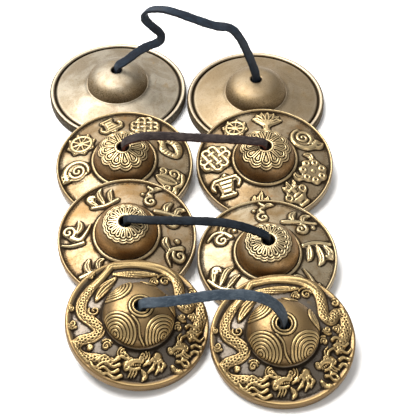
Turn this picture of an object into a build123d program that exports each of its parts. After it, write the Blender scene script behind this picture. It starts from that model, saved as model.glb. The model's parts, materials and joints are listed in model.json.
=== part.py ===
"""Four pairs of tingsha, the small bronze finger cymbals that are rung edge to edge.

The pairs lie as they are laid out for sale: the plain pair is flat on the table at the back,
and each nearer pair rests its rear rims on the flanges of the pair behind it. A leather strap
joins the two bells of a pair through the holes in their domes, with a knot inside each bell.
Millimetres, +Z up, origin under the middle of the layout, on the table.
"""
import os
from math import asin, cos, degrees, pi, radians, sin, sqrt, tan

from build123d import *

# Pairs, from the back of the layout to the front: the bell diameter of each.
DIAMETER = {"plain": 73.4, "emblem": 69.6, "scroll": 67.2, "dragon": 66.0}
SIDES = ("left", "right")

# Where the middle of each bell's rim lies on the table.
PLACE = {
    ("plain", "left"): (-39.3, 82.2),
    ("plain", "right"): (34.8, 75.1),
    ("emblem", "left"): (-33.1, 23.4),
    ("emblem", "right"): (38.1, 23.9),
    ("scroll", "left"): (-29.7, -26.3),
    ("scroll", "right"): (37.7, -37.2),
    ("dragon", "left"): (-23.4, -77.4),
    ("dragon", "right"): (43.0, -85.8),
}
# Degrees by which a bell also leans to the right, off the neighbour that it rests on.
LEAN = {("dragon", "left"): 8.5}

# A bell's section: a thick flat rim, a flange that rises gently, and a full round dome.
RIM_HEIGHT = 5.2
RIM_WIDTH = 3.0
RIM_EDGE_ROUND = 0.9
FOOT_WIDTH = 2.6
FOOT_RECESS = 1.2
FLANGE_RISE = 4.2
FLANGE_WALL = 3.0
DOME_HEIGHT = 9.8
DOME_WALL = 2.6
# The dome's radius as a share of the bell's diameter.
DOME_SHARE = {"plain": 0.219, "emblem": 0.214, "scroll": 0.217, "dragon": 0.243}
DOME_FULLNESS = 2.5  # 2 is an ellipse, more is squarer
DOME_POINTS = 7
HOLE_RADIUS = 2.9
MOUTH_HEIGHT = RIM_HEIGHT + FLANGE_RISE + DOME_HEIGHT

# Ornament rings turned on the bells.
GROOVE_SHARE = 0.92
GROOVE_RADIUS = 0.6
BEAD_RADIUS = 0.6
CROWN_RINGS = (3.8, 5.4)

# The leather straps and their knots.
STRAP_DIAMETER = 4.0
HINGE_HEIGHT = 2.6  # the strap's pivot above the mouth of the hole
STUB_TOP = HINGE_HEIGHT - STRAP_DIAMETER / 2 - 0.3
KNOT_RADIUS = 4.6
KNOT_HEIGHT = 7.0
KNOT_GAP = 0.6  # below the inside of the dome
KNOT_SHOULDER = 3.4

# Air left between a rear rim and the flange that it rests on.
REST_GAP = 0.3

STRAP_ROUTE = {
    "plain": [
        (-39.3, 82.2, 21.8),
        (-34.2, 81.7, 25.6),
        (-28.2, 81.1, 32.2),
        (-22.3, 80.6, 37.2),
        (-15.6, 79.9, 40.4),
        (-14.2, 79.8, 45.8),
        (-19.0, 80.3, 50.4),
        (-23.6, 80.7, 55.6),
        (-22.4, 80.6, 61.2),
        (-14.2, 79.8, 63.0),
        (-5.0, 78.9, 60.4),
        (4.5, 78.0, 56.6),
        (13.5, 77.1, 53.4),
        (21.0, 76.4, 53.8),
        (26.0, 75.9, 46.8),
        (29.8, 75.6, 37.4),
        (32.8, 75.3, 28.6),
        (34.8, 75.1, 21.8),
    ],
    "emblem": [
        (-33.1, 21.0, 25.5),
        (-28.8, 21.0, 28.9),
        (-21.5, 21.0, 30.9),
        (-11.0, 21.0, 30.8),
        (1.0, 21.0, 29.8),
        (13.0, 20.9, 29.0),
        (24.0, 20.9, 28.4),
        (32.5, 20.9, 27.3),
        (38.1, 20.9, 26.3),
    ],
    "scroll": [
        (-29.7, -30.1, 27.3),
        (-24.5, -30.8, 27.6),
        (-16.0, -32.0, 28.2),
        (-6.0, -33.4, 29.6),
        (4.5, -34.9, 31.2),
        (13.5, -36.2, 32.0),
        (22.0, -37.4, 31.6),
        (29.8, -38.5, 29.2),
        (34.2, -39.1, 27.3),
        (37.7, -39.6, 25.4),
    ],
    "dragon": [
        (-20.2, -80.4, 28.0),
        (-13.5, -81.4, 29.6),
        (-4.5, -82.7, 32.8),
        (5.0, -84.1, 37.0),
        (14.5, -85.5, 40.8),
        (24.5, -87.0, 42.8),
        (33.2, -88.3, 42.2),
        (39.2, -89.1, 37.6),
        (42.0, -89.6, 31.8),
        (43.0, -89.7, 27.3),
    ],
}


def dome_radius(pair):
    """Outer radius of the dome where it meets the flange."""
    return DOME_SHARE[pair] * DIAMETER[pair]


def dome_curve(radius, base, height):
    """Points up a dome from its foot to the hole's edge, along a superellipse quarter."""
    points = []
    for step in range(DOME_POINTS):
        reach = radius - (radius - HOLE_RADIUS) * sin(pi / 2 * step / (DOME_POINTS - 1)) ** 2
        lift = (1 - (reach / radius) ** DOME_FULLNESS) ** (1 / DOME_FULLNESS)
        points.append((reach, base + height * lift))
    return points


def flange_top(pair, radius):
    """Height of a bell's upper face at a radius outside its dome."""
    inner = DIAMETER[pair] / 2 - RIM_WIDTH
    if radius >= inner:
        return RIM_HEIGHT
    share = (inner - radius) / (inner - dome_radius(pair))
    return RIM_HEIGHT + FLANGE_RISE * share


def bell_frame(pair, side, tilt):
    """The bell's own plane: its rim's middle and its tilted axis, lowest edge on the table."""
    x, y = PLACE[pair, side]
    slope = Vector(sin(radians(LEAN.get((pair, side), 0.0))), -sin(radians(tilt)), 0)
    up = slope + Vector(0, 0, sqrt(1 - slope.length**2))
    lift = DIAMETER[pair] / 2 * slope.length
    return Plane(origin=(x, y, lift), x_dir=(up.Z, 0, -up.X), z_dir=up)


def rear_rim_gap(pair, side, tilt, behind, behind_tilt):
    """Least height of the rear rim above the flange of the bell behind."""
    own = bell_frame(pair, side, tilt)
    other = bell_frame(behind, side, behind_tilt)
    reach = DIAMETER[pair] / 2 - RIM_EDGE_ROUND / 2
    gaps = []
    for turn in range(15, 166, 3):
        point = own.from_local_coords((reach * cos(radians(turn)), reach * sin(radians(turn)), 0))
        spot = other.to_local_coords(point)
        radius = (spot.X**2 + spot.Y**2) ** 0.5
        if radius < DIAMETER[behind] / 2:
            gaps.append(spot.Z - flange_top(behind, max(radius, dome_radius(behind))))
    return min(gaps)


def resting_tilt(pair, side, behind, behind_tilt):
    """Tilt in degrees at which the rear rim lies just on the bell behind."""
    low, high = 0.0, 20.0
    for _ in range(24):
        middle = (low + high) / 2
        if rear_rim_gap(pair, side, middle, behind, behind_tilt) > REST_GAP:
            high = middle
        else:
            low = middle
    return high


def bell_frames():
    """Every bell's plane, worked out from the back row to the front."""
    frames = {}
    for side in SIDES:
        behind, tilt = None, 0.0
        for pair in DIAMETER:
            if behind:
                tilt = resting_tilt(pair, side, behind, tilt)
            frames[pair, side] = bell_frame(pair, side, tilt)
            behind = pair
    return frames


def bell_section(pair):
    """Half section of a bell in the XZ plane, closed round the wall."""
    rim = DIAMETER[pair] / 2
    dome = dome_radius(pair)
    flange = RIM_HEIGHT + FLANGE_RISE
    outer = dome_curve(dome, flange, DOME_HEIGHT)
    ceiling = MOUTH_HEIGHT - DOME_WALL
    inner = dome_curve(dome - DOME_WALL, flange - FLANGE_WALL, ceiling - flange + FLANGE_WALL)
    with BuildSketch(Plane.XZ) as section:
        with BuildLine():
            Polyline(
                outer[0],
                (rim - RIM_WIDTH, RIM_HEIGHT),
                (rim, RIM_HEIGHT),
                (rim, 0),
                (rim - FOOT_WIDTH, 0),
                (rim - FOOT_WIDTH - FOOT_RECESS, FOOT_RECESS),
                inner[0],
            )
            Spline(*inner)
            Line(inner[-1], outer[-1])
            Spline(*reversed(outer))
        make_face()
        edge = [v for v in section.vertices() if abs(v.X - rim) < 0.01]
        fillet(edge, RIM_EDGE_ROUND)
    return section.sketch


def bell(pair):
    """One bell at the origin, standing on its rim, with its turned rings."""
    body = revolve(bell_section(pair), Axis.Z)
    rim = DIAMETER[pair] / 2
    if pair == "plain":
        groove = rim * GROOVE_SHARE
        body -= Pos(0, 0, flange_top(pair, groove)) * Torus(groove, GROOVE_RADIUS)
    elif pair == "dragon":
        for ring in CROWN_RINGS:
            reach = ring / dome_radius(pair)
            lift = (1 - reach**DOME_FULLNESS) ** (1 / DOME_FULLNESS)
            height = RIM_HEIGHT + FLANGE_RISE + DOME_HEIGHT * lift
            body += Pos(0, 0, height) * Torus(ring, BEAD_RADIUS)
    else:
        bead = dome_radius(pair) + BEAD_RADIUS
        body += Pos(0, 0, flange_top(pair, bead)) * Torus(bead, BEAD_RADIUS)
    return body


def knot():
    """The knot under a bell's hole, with the short length of strap that fills the hole."""
    top = MOUTH_HEIGHT - DOME_WALL - KNOT_GAP
    bottom = top - KNOT_HEIGHT
    with BuildSketch(Plane.XZ) as section:
        with BuildLine():
            Line((0, bottom), (KNOT_SHOULDER, bottom))
            Spline(
                (KNOT_SHOULDER, bottom),
                (KNOT_RADIUS, (top + bottom) / 2),
                (KNOT_SHOULDER, top),
            )
            Line((KNOT_SHOULDER, top), (0, top))
            Line((0, top), (0, bottom))
        make_face()
    lump = revolve(section.sketch, Axis.Z)
    reach = MOUTH_HEIGHT + STUB_TOP - top + 1.0
    return lump + Pos(0, 0, top - 1.0 + reach / 2) * Cylinder(STRAP_DIAMETER / 2, reach)


def corner_radii(route):
    """The largest arc that the two runs beside each corner allow."""
    points = [Vector(*point) for point in route]
    radii = []
    for before, corner, after in zip(points, points[1:], points[2:]):
        arriving = corner - before
        leaving = after - corner
        turn = radians(arriving.get_angle(leaving))
        radii.append(0.45 * min(arriving.length, leaving.length) / tan(turn / 2))
    return radii


def strap(pair):
    """The free length of a strap between its two holes, as a round tube."""
    route = STRAP_ROUTE[pair]
    radii = corner_radii(route)
    path = FilletPolyline(*route, radius=radii)
    start = Plane(origin=path @ 0, z_dir=path % 0)
    tube = sweep(start * Circle(STRAP_DIAMETER / 2), path=path)
    section = pi * STRAP_DIAMETER**2 / 4
    print(
        f"strap_{pair}: length {path.length:.1f}, volume {tube.volume:.1f}",
        f"section x length {section * path.length:.1f}, radii",
        " ".join(f"{radius:.1f}" for radius in radii),
    )
    return tube


def build():
    """Every piece of the set, by the name of its node."""
    pieces = {}
    for (pair, side), frame in bell_frames().items():
        pieces[f"bell_{pair}_{side}"] = frame.location * bell(pair)
        pieces[f"knot_{pair}_{side}"] = frame.location * knot()
        tilt = degrees(asin(-frame.z_dir.Y))
        print(f"bell_{pair}_{side}: tilt {tilt:.2f}, middle {tuple(frame.origin)}")
    for pair in DIAMETER:
        pieces[f"strap_{pair}"] = strap(pair)
    return pieces


def main():
    os.makedirs("parts", exist_ok=True)
    for name, piece in build().items():
        export_step(piece, f"parts/{name}.step")


if __name__ == "__main__":
    main()
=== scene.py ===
"""Looks for four pairs of tingsha: cast bronze bells with raised ornament, and knotted leather straps.

Ornament is worked out as height fields over each bell's own plane, in millimetres, and lifted out
of a turned surface, so the relief is real geometry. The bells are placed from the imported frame.
"""
import json
import math

import bpy
import numpy as np
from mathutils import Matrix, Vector


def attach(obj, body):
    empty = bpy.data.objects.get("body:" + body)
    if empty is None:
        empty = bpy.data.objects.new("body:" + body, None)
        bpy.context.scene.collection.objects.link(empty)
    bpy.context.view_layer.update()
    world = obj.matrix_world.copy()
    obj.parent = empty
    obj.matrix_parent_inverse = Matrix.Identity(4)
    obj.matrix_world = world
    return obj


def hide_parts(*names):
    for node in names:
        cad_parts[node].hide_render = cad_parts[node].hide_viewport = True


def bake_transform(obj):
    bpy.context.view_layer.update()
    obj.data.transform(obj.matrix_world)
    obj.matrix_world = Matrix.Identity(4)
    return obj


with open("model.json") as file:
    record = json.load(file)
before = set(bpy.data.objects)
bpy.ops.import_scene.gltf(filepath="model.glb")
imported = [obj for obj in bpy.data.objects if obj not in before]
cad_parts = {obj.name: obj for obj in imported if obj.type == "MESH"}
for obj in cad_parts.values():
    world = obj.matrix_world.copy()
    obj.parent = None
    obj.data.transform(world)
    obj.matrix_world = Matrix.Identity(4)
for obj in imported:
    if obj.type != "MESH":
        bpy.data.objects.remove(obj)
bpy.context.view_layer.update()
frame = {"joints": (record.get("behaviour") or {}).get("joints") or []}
JOINTS = {joint["name"]: joint for joint in frame["joints"]}

MM = 0.001
PAIRS = ("plain", "emblem", "scroll", "dragon")
SIDES = ("left", "right")

# The bells' sizes and section, in millimetres, as the solids have them.
DIAMETER = {"plain": 73.4, "emblem": 69.6, "scroll": 67.2, "dragon": 66.0}
RIM_HEIGHT = 5.2
RIM_WIDTH = 3.0
FOOT_WIDTH = 2.6
FOOT_RECESS = 1.2
FLANGE_RISE = 4.2
FLANGE_WALL = 3.0
DOME_HEIGHT = 9.8
DOME_WALL = 2.6
DOME_SHARE = {"plain": 0.219, "emblem": 0.214, "scroll": 0.217, "dragon": 0.243}
DOME_FULLNESS = 2.5
HOLE_RADIUS = 2.9
MOUTH_HEIGHT = RIM_HEIGHT + FLANGE_RISE + DOME_HEIGHT
HINGE_HEIGHT = 2.6

# The straps are flat thongs.
STRAP_WIDTH = {"plain": 4.5, "emblem": 4.4, "scroll": 4.1, "dragon": 4.8}
STRAP_THICKNESS = 1.9
STRAP_EDGE_ROUND = 0.6
STRAP_STEP = 0.8 * MM


def link(name, data):
    made = bpy.data.objects.new(name, data)
    bpy.context.scene.collection.objects.link(made)
    return made


# ---- camera

CAMERA_TARGET = Vector((9.1, 1.1, 0.0)) * MM
CAMERA_DISTANCE = 653.0 * MM
CAMERA_ELEVATION = math.radians(48.46)
CAMERA_LENS = 112.8


def make_camera():
    """A camera that looks down on the layout from its front."""
    data = bpy.data.cameras.new("camera")
    data.lens = CAMERA_LENS
    data.sensor_width = 36
    camera = link("camera", data)
    back = Vector((0, -math.cos(CAMERA_ELEVATION), math.sin(CAMERA_ELEVATION)))
    camera.location = CAMERA_TARGET + back * CAMERA_DISTANCE
    camera.rotation_mode = "QUATERNION"
    camera.rotation_quaternion = (-back).to_track_quat("-Z", "Y")
    bpy.context.scene.camera = camera


# ---- bells' frames


class Bell:
    """A bell's own frame, in metres, and its sizes, in millimetres."""

    def __init__(self, pair, side):
        joint = JOINTS[f"{pair}_{side}_bell_spin"]
        self.pair, self.side = pair, side
        self.node = f"bell_{pair}_{side}"
        self.body = joint["child"]
        self.origin = np.array(joint["pos_m"])
        self.up = np.array(joint["axis"]) / np.linalg.norm(joint["axis"])
        across = np.array((self.up[2], 0.0, -self.up[0]))
        self.right = across / np.linalg.norm(across)
        self.rear = np.cross(self.up, self.right)
        self.rim = DIAMETER[pair] / 2
        self.dome = DOME_SHARE[pair] * DIAMETER[pair]
        self.field = FIELD_SHARE.get(pair, 1.0) * self.rim

    def place(self, x, y, z):
        """Millimetres in the bell's frame to metres in the shared frame."""
        local = np.stack(np.broadcast_arrays(x, y, z), -1) * MM
        return self.origin + local @ np.stack((self.right, self.rear, self.up))

    def hinge(self, height=0.0):
        """The strap's pivot over the hole, or a point above it on the bell's axis."""
        return self.place(0.0, 0.0, MOUTH_HEIGHT + HINGE_HEIGHT + height)


# ---- meshes


def grid_faces(rows, columns, closed):
    """Quads over a grid of points that wraps round its columns, and round its rows if closed."""
    row, column = np.meshgrid(np.arange(rows if closed else rows - 1), np.arange(columns), indexing="ij")
    next_row, next_column = (row + 1) % rows, (column + 1) % columns
    corners = (row, column), (row, next_column), (next_row, next_column), (next_row, column)
    return np.stack([r * columns + c for r, c in corners], -1).reshape(-1, 4)


def mesh_from(name, points, faces, values):
    """A smooth mesh with numbers or vectors on its points, for its material."""
    mesh = bpy.data.meshes.new(name)
    mesh.from_pydata(points, [], faces)
    mesh.polygons.foreach_set("use_smooth", np.ones(len(faces), bool))
    for key, value in values.items():
        kind, field = ("FLOAT", "value") if value.ndim == 1 else ("FLOAT_VECTOR", "vector")
        attribute = mesh.attributes.new(key, kind, "POINT")
        attribute.data.foreach_set(field, value.astype(np.float32).ravel())
    return mesh


# ---- lines


def smoothstep(low, high, value):
    share = np.clip((value - low) / (high - low), 0, 1)
    return share * share * (3 - 2 * share)


def bump_at(distance, half):
    """1 on a line, falling to 0 at the half width, with a rounded top."""
    return np.clip(1.3 * (1 - (distance / half) ** 2), 0, 1)


def walk(line):
    """The length so far at each point of a line."""
    return np.append(0, np.cumsum(np.linalg.norm(np.diff(line, axis=0), axis=1)))


def curve(points):
    """A smooth line through a few chosen points."""
    points = np.array(points, float)
    padded = np.vstack((2 * points[0] - points[1], points, 2 * points[-1] - points[-2]))
    share = np.linspace(0, 1, 7, endpoint=False)[:, None]
    spans = [
        0.5 * (2 * b + (c - a) * share + (2 * a - 5 * b + 4 * c - d) * share**2
               + (3 * b - a - 3 * c + d) * share**3)
        for a, b, c, d in zip(padded, padded[1:], padded[2:], padded[3:])
    ]
    return np.vstack((*spans, points[-1]))


def spiral(x, y, radius, turns, start, hand=1):
    """A line that winds in towards a point."""
    share = np.linspace(0, 1, 28)
    angle = math.radians(start) + hand * share * turns * 2 * math.pi
    reach = radius * (1 - 0.88 * share)
    return np.stack((x + reach * np.cos(angle), y + reach * np.sin(angle)), -1)


def arc(x, y, radius, low, high):
    angle = np.radians(np.linspace(low, high, 12))
    return np.stack((x + radius * np.cos(angle), y + radius * np.sin(angle)), -1)


def near(u, v, line):
    """Distance to a line, how far along it as a share, the length so far, and the side.

    A list of chosen points stands for the smooth line through them.
    """
    if isinstance(line, list):
        line = curve(line)
    best = np.full(u.shape, 1e9)
    length_at, side = np.zeros(u.shape), np.zeros(u.shape)
    walked = walk(line)
    for start, end, before, after in zip(line, line[1:], walked, walked[1:]):
        step = after - before
        du, dv = (end - start) / step
        along = np.clip((u - start[0]) * du + (v - start[1]) * dv, 0, step)
        off_u, off_v = u - start[0] - along * du, v - start[1] - along * dv
        distance = np.hypot(off_u, off_v)
        closer = distance < best
        best = np.where(closer, distance, best)
        length_at = np.where(closer, before + along, length_at)
        side = np.where(closer, np.sign(du * off_v - dv * off_u), side)
    return best, length_at / walked[-1], length_at, side


# ---- ornament


class Drawing:
    """Heights from 0 to 1 over points u, v. Each mark is joined to the ones before it."""

    def __init__(self, u, v):
        self.u, self.v = u, v
        self.height = np.zeros(u.shape)

    def add(self, height, share=1.0):
        self.height = np.maximum(self.height, share * height)

    def carve(self, share):
        """Cuts a share off the marks made so far."""
        self.height = self.height * (1 - share)

    def off(self, x, y):
        return np.hypot(self.u - x, self.v - y)

    def stroke(self, line, half, taper=(1.0, 1.0), share=1.0):
        """A raised line whose width runs between two shares of its half width."""
        distance, along, _, _ = near(self.u, self.v, line)
        first, last = taper
        self.add(bump_at(distance, half * (first + (last - first) * along)), share)

    def leaf(self, line, half):
        """A pointed leaf along a line, with a groove down its middle."""
        distance, along, _, _ = near(self.u, self.v, line)
        half = half * np.sin(np.pi * np.clip(along * 0.93 + 0.05, 0, 1)) ** 0.7 + 1e-3
        self.add(bump_at(distance, half) * (1 - 0.35 * bump_at(distance, half * 0.3)))

    def ribbed_leaf(self, line, half):
        """A long leaf with fine ribs along it."""
        distance, along, _, side = near(self.u, self.v, line)
        half = half * np.sin(np.pi * np.clip(0.06 + 0.92 * along, 0, 1)) ** 0.7 + 1e-3
        ribs = 0.4 * bump_at((distance * side / half * 1.6 + along * 1.2) % 1 - 0.5, 0.26)
        self.add(bump_at(distance, half) ** 0.7 * (1 - ribs))

    def disc(self, x, y, radius, squash=1.0, share=1.0):
        self.add(bump_at(np.hypot(self.u - x, (self.v - y) / squash), radius), share)

    def ring(self, x, y, radius, half):
        self.add(bump_at(self.off(x, y) - radius, half))


# Small motifs. u runs to the right and v outward from the bell's middle. Each fills about one
# unit either way.


def parasol(art):
    art.add(bump_at(np.hypot(art.u / 0.9, (art.v - 0.15) / 0.6), 1.0) * (art.v > 0.1))
    art.carve(0.25 * bump_at((art.u * 2.6) % 1 - 0.5, 0.2))
    for x in (-0.75, -0.45, -0.15, 0.15, 0.45, 0.75):
        art.disc(x, 0.02, 0.17)
    for side in (-1, 1):
        art.stroke([(0.6 * side, 0), (0.75 * side, -0.35), (0.5 * side, -0.7)], 0.12)
    art.stroke([(0, 0), (0, -0.95)], 0.11)
    art.disc(0, 0.82, 0.2)


def lotus(art):
    for angle in np.radians((-76, -50, -25, 0, 25, 50, 76)):
        tip = (0.98 * math.sin(angle), 0.98 * math.cos(angle) - 0.1)
        art.leaf([(0, -0.35), (tip[0] * 0.62, tip[1] * 0.42), tip], 0.26)
    art.disc(0, -0.28, 0.42, 0.75)
    art.stroke([(0, -0.4), (0, -0.85)], 0.2)
    art.disc(0, -0.82, 0.3, 0.6)


def conch(art):
    art.stroke(spiral(0.1, 0.12, 0.6, 1.6, 200), 0.15, (1.0, 0.7))
    art.stroke(arc(0.05, 0.05, 0.84, 10, 235), 0.17, (0.7, 1.3))
    art.leaf([(-0.4, -0.3), (-0.75, -0.6), (-0.7, -1.0)], 0.34)
    art.disc(0.08, 0.08, 0.88, share=0.5)


def blossom(art):
    art.disc(0, 0, 0.3)
    art.carve(0.4 * bump_at(art.off(0, 0) - 0.16, 0.06))
    for angle in np.radians(np.arange(7) * 360 / 7 + 90):
        x, y = 0.6 * math.cos(angle), 0.6 * math.sin(angle)
        art.disc(x, y, 0.31)
        art.carve(0.35 * bump_at(art.off(x, y), 0.12))
    for side in (-1, 1):
        art.leaf([(0.7 * side, -0.35), (0.95 * side, -0.65), (0.75 * side, -0.98)], 0.2)


def vase(art):
    art.disc(0, -0.3, 0.55, 0.85)
    art.carve(0.3 * bump_at(art.v + 0.25 - 0.25 * art.u**2, 0.07))
    art.stroke([(0, 0.1), (0, 0.35)], 0.2)
    art.stroke([(-0.3, 0.36), (0.3, 0.36)], 0.12)
    art.stroke([(-0.3, -0.85), (0.3, -0.85)], 0.13)
    art.leaf([(0, 0.4), (-0.05, 0.7), (0, 0.98)], 0.17)
    for side in (-1, 1):
        art.leaf([(0.15 * side, 0.42), (0.4 * side, 0.6), (0.42 * side, 0.85)], 0.13)
        art.ring(0.6 * side, 0.0, 0.2, 0.09)


def jewel(art):
    art.leaf([(0, -0.3), (0, 0.8)], 0.26)
    for side in (-1, 1):
        art.leaf([(0.2 * side, -0.3), (0.5 * side, 0.0), (0.5 * side, 0.45)], 0.22)
    for x in (-0.5, -0.25, 0, 0.25, 0.5):
        art.disc(x, -0.38, 0.16)
    art.stroke([(-0.8, -0.5), (-0.4, -0.68), (0.4, -0.68), (0.8, -0.5)], 0.13)


def banner(art):
    inside = np.minimum(0.5 + 0.22 * art.v - np.abs(art.u), 0.62 - np.abs(art.v))
    art.add(np.clip(6 * inside, 0, 1))
    art.carve(0.28 * bump_at((art.v * 3.1) % 1 - 0.5, 0.16))
    art.stroke([(-0.75, 0.62), (0.75, 0.62)], 0.14)
    art.stroke([(-0.5, -0.66), (0.5, -0.66)], 0.13)
    for side in (-1, 1):
        art.stroke([(0.7 * side, 0.6), (0.95 * side, 0.25), (0.8 * side, -0.1)], 0.12)
    art.disc(0, 0.88, 0.2)


def lattice(art):
    """An endless interlaced lattice of six strands that pass over and under, with looped ends."""
    a, b = (art.u + art.v) / 1.414, (art.u - art.v) / 1.414
    pitch, reach = 0.46, 0.7
    row, column = np.round(a / pitch), np.round(b / pitch)
    over = 0.16 * np.cos(np.pi * a / pitch) * np.cos(np.pi * column)
    near_a = (np.abs(column) <= 1) & (np.abs(a) < reach + 0.02)
    near_b = (np.abs(row) <= 1) & (np.abs(b) < reach + 0.02)
    art.add(bump_at(b - column * pitch, 0.16) * (0.84 + over) * near_a)
    art.add(bump_at(a - row * pitch, 0.16) * (0.84 - over) * near_b)
    for side in (-1, 1):
        for middle in (-0.5 * pitch, 0.5 * pitch):
            for p, q in ((a, b), (b, a)):
                loop = np.hypot(p - reach * side, q - middle) - 0.5 * pitch
                art.add(bump_at(loop, 0.13) * (p * side > reach))


def wheel(art):
    radius, angle = art.off(0, 0), np.arctan2(art.v, art.u)
    art.add(bump_at(np.sin(4 * angle) * radius / 4, 0.07) * (radius < 0.7))
    art.ring(0, 0, 0.7, 0.14)
    art.disc(0, 0, 0.24)
    for turn in np.radians(range(0, 360, 45)):
        art.disc(0.92 * math.cos(turn), 0.92 * math.sin(turn), 0.13)


def fishes(art):
    for hand in (-1, 1):
        line = [(0.15 * hand, -0.8), (0.5 * hand, -0.2), (0.3 * hand, 0.45), (-0.1 * hand, 0.8)]
        distance, share, length, _ = near(art.u, art.v, line)
        half = 0.27 * np.sin(np.pi * np.clip(0.12 + 0.85 * share, 0, 1)) ** 0.8 + 1e-3
        scales = 0.3 * bump_at((length * 4.5) % 1 - 0.5, 0.17)
        art.add(bump_at(distance, half) * (1 - scales * (share > 0.15) * (share < 0.8)))
        for x in (0.42, -0.12):
            art.leaf([(0.15 * hand, -0.75), (x * hand, -1.0)], 0.13)


def bud(art):
    art.leaf([(0, -0.5), (0, 0.75)], 0.5)
    art.stroke(spiral(-0.55, -0.2, 0.38, 1.2, 300, -1), 0.11)
    art.stroke(spiral(0.55, -0.2, 0.38, 1.2, 240), 0.11)
    art.stroke(spiral(0.5, 0.5, 0.28, 1.1, 200), 0.1)
    art.stroke([(-0.8, -0.75), (-0.3, -0.6), (0.1, -0.85), (0.7, -0.7)], 0.13)


# Leaf scrolls, each a few tapered strokes round a stem.


def fork(art):
    art.stroke([(-0.95, 0.15), (-0.35, 0.35), (0.1, 0.1), (0.3, -0.5)], 0.17, (0.4, 1.1))
    art.leaf([(0.05, 0.25), (0.5, 0.55), (0.95, 0.45)], 0.26)
    art.stroke(spiral(-0.25, -0.4, 0.42, 1.25, 60), 0.14, (1.0, 0.7))
    art.disc(0.75, -0.2, 0.19)


def sprig(art):
    art.stroke([(-0.8, -0.7), (-0.3, -0.2), (0.15, 0.2), (0.75, 0.75)], 0.15, (1.2, 0.6))
    art.leaf([(-0.35, -0.2), (-0.75, 0.1), (-0.8, 0.6)], 0.24)
    art.leaf([(0.1, 0.15), (-0.15, 0.6), (0.1, 0.95)], 0.22)
    art.stroke(spiral(0.42, -0.35, 0.42, 1.3, 130, -1), 0.14, (1.0, 0.7))
    art.disc(0.85, 0.35, 0.17)


def wave(art):
    art.stroke(spiral(-0.5, 0.15, 0.45, 1.35, -60), 0.15, (1.0, 0.7))
    art.stroke([(-0.3, -0.25), (0.2, -0.5), (0.6, -0.1), (0.9, 0.5)], 0.16, (1.2, 0.4))
    art.leaf([(0.05, 0.0), (0.25, 0.45), (0.15, 0.9)], 0.24)
    art.stroke([(-0.9, -0.7), (-0.3, -0.82), (0.45, -0.75)], 0.12, (0.5, 1.1))


def tendril(art):
    art.stroke([(-0.1, 0.95), (0.25, 0.6), (-0.1, 0.3), (0.1, 0.0)], 0.14, (0.6, 1.1))
    art.stroke(spiral(0.05, -0.45, 0.45, 1.2, 90), 0.15, (1.0, 0.7))
    art.leaf([(0.2, 0.55), (0.5, 0.75), (0.85, 0.7)], 0.18)
    art.disc(-0.5, 0.25, 0.16)


def frond(art):
    for x, top in ((-0.5, 0.35), (-0.05, 0.85), (0.42, 0.5)):
        art.leaf([(x, -0.5), (x * 1.5 - 0.05, 0.5 * top), (x * 1.3 + 0.25, top)], 0.21)
    art.stroke([(-0.85, -0.5), (0.0, -0.68), (0.9, -0.5)], 0.14)
    art.stroke(spiral(-0.72, 0.2, 0.3, 1.2, 20), 0.12)


# Where each motif sits: degrees round the bell, the motif, its turn about its own middle and its
# half size in millimetres.
MOTIFS = {
    ("emblem", "left"): [(109, banner, 165, 6.2), (67, lattice, 20, 7.2), (20, fishes, 75, 7.6),
                         (-27, bud, 170, 8.2), (-68, vase, 180, 7.4), (-112, parasol, 180, 7.6),
                         (-164, conch, 120, 7.2), (153, wheel, 0, 7.4)],
    ("emblem", "right"): [(86, lotus, 0, 7.8), (33, conch, 190, 7.6), (-15, blossom, 10, 8.4),
                          (-53, vase, 175, 7.6), (-96, jewel, 180, 6.4), (-140, banner, 118, 7.4),
                          (177, lattice, 8, 7.9), (126, wheel, 0, 6.6)],
    ("scroll", "left"): [(121, frond, 10, 7.6), (64, tendril, -30, 7.0), (27, sprig, -10, 7.8),
                         (-22, fork, 160, 7.8), (-70, wave, 180, 7.4), (-124, sprig, 170, 7.4),
                         (178, wave, 85, 7.8)],
    ("scroll", "right"): [(95, tendril, 0, 7.4), (49, sprig, 0, 7.6), (3, frond, 80, 8.2),
                          (-44, wave, 160, 7.6), (-94, sprig, 180, 7.4), (-147, frond, 150, 7.8),
                          (152, fork, 30, 7.8)],
}
MOTIF_RADIUS_SHARE = 0.725


def motif_field(bell, x, y):
    """Heights of the motifs round a bell's flange, from 0 to 1."""
    height = np.zeros(x.shape)
    middle = MOTIF_RADIUS_SHARE * bell.rim
    for degrees, motif, turn, size in MOTIFS[bell.pair, bell.side]:
        angle, spin = math.radians(degrees), math.radians(turn)
        out = (x * math.cos(angle) + y * math.sin(angle) - middle) / size
        across = (x * math.sin(angle) - y * math.cos(angle)) / size
        u = across * math.cos(spin) - out * math.sin(spin)
        v = across * math.sin(spin) + out * math.cos(spin)
        close = np.hypot(u, v) < 1.35
        art = Drawing(u[close], v[close])
        motif(art)
        height[close] = np.maximum(height[close], art.height)
    return height


# ---- dragons, in millimetres in the bell's plane

# Lines of the two bodies, each from tail to neck.
LEFT_BODY = [(-14, 27), (-18, 20), (-23, 13), (-26, 6), (-25, 0), (-20, -4.5), (-17, -8.5),
             (-20, -11.5), (-25.5, -13), (-27, -17), (-23.5, -20.5), (-17, -21.5), (-11, -23)]
RIGHT_BODY = [(-13, 27.5), (-4, 29.5), (5, 29.5), (12, 27.5), (17, 22.5), (18.5, 16), (19, 10),
              (22, 7.5), (25, 12), (28.5, 11.5), (29, 5), (27.5, -1), (25, -6)]
BODY_HALF = 2.6
SCALE_PITCH = 1.45
HEAD_SIZE = 4.6
FIST_SIZE = 5.6
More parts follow.
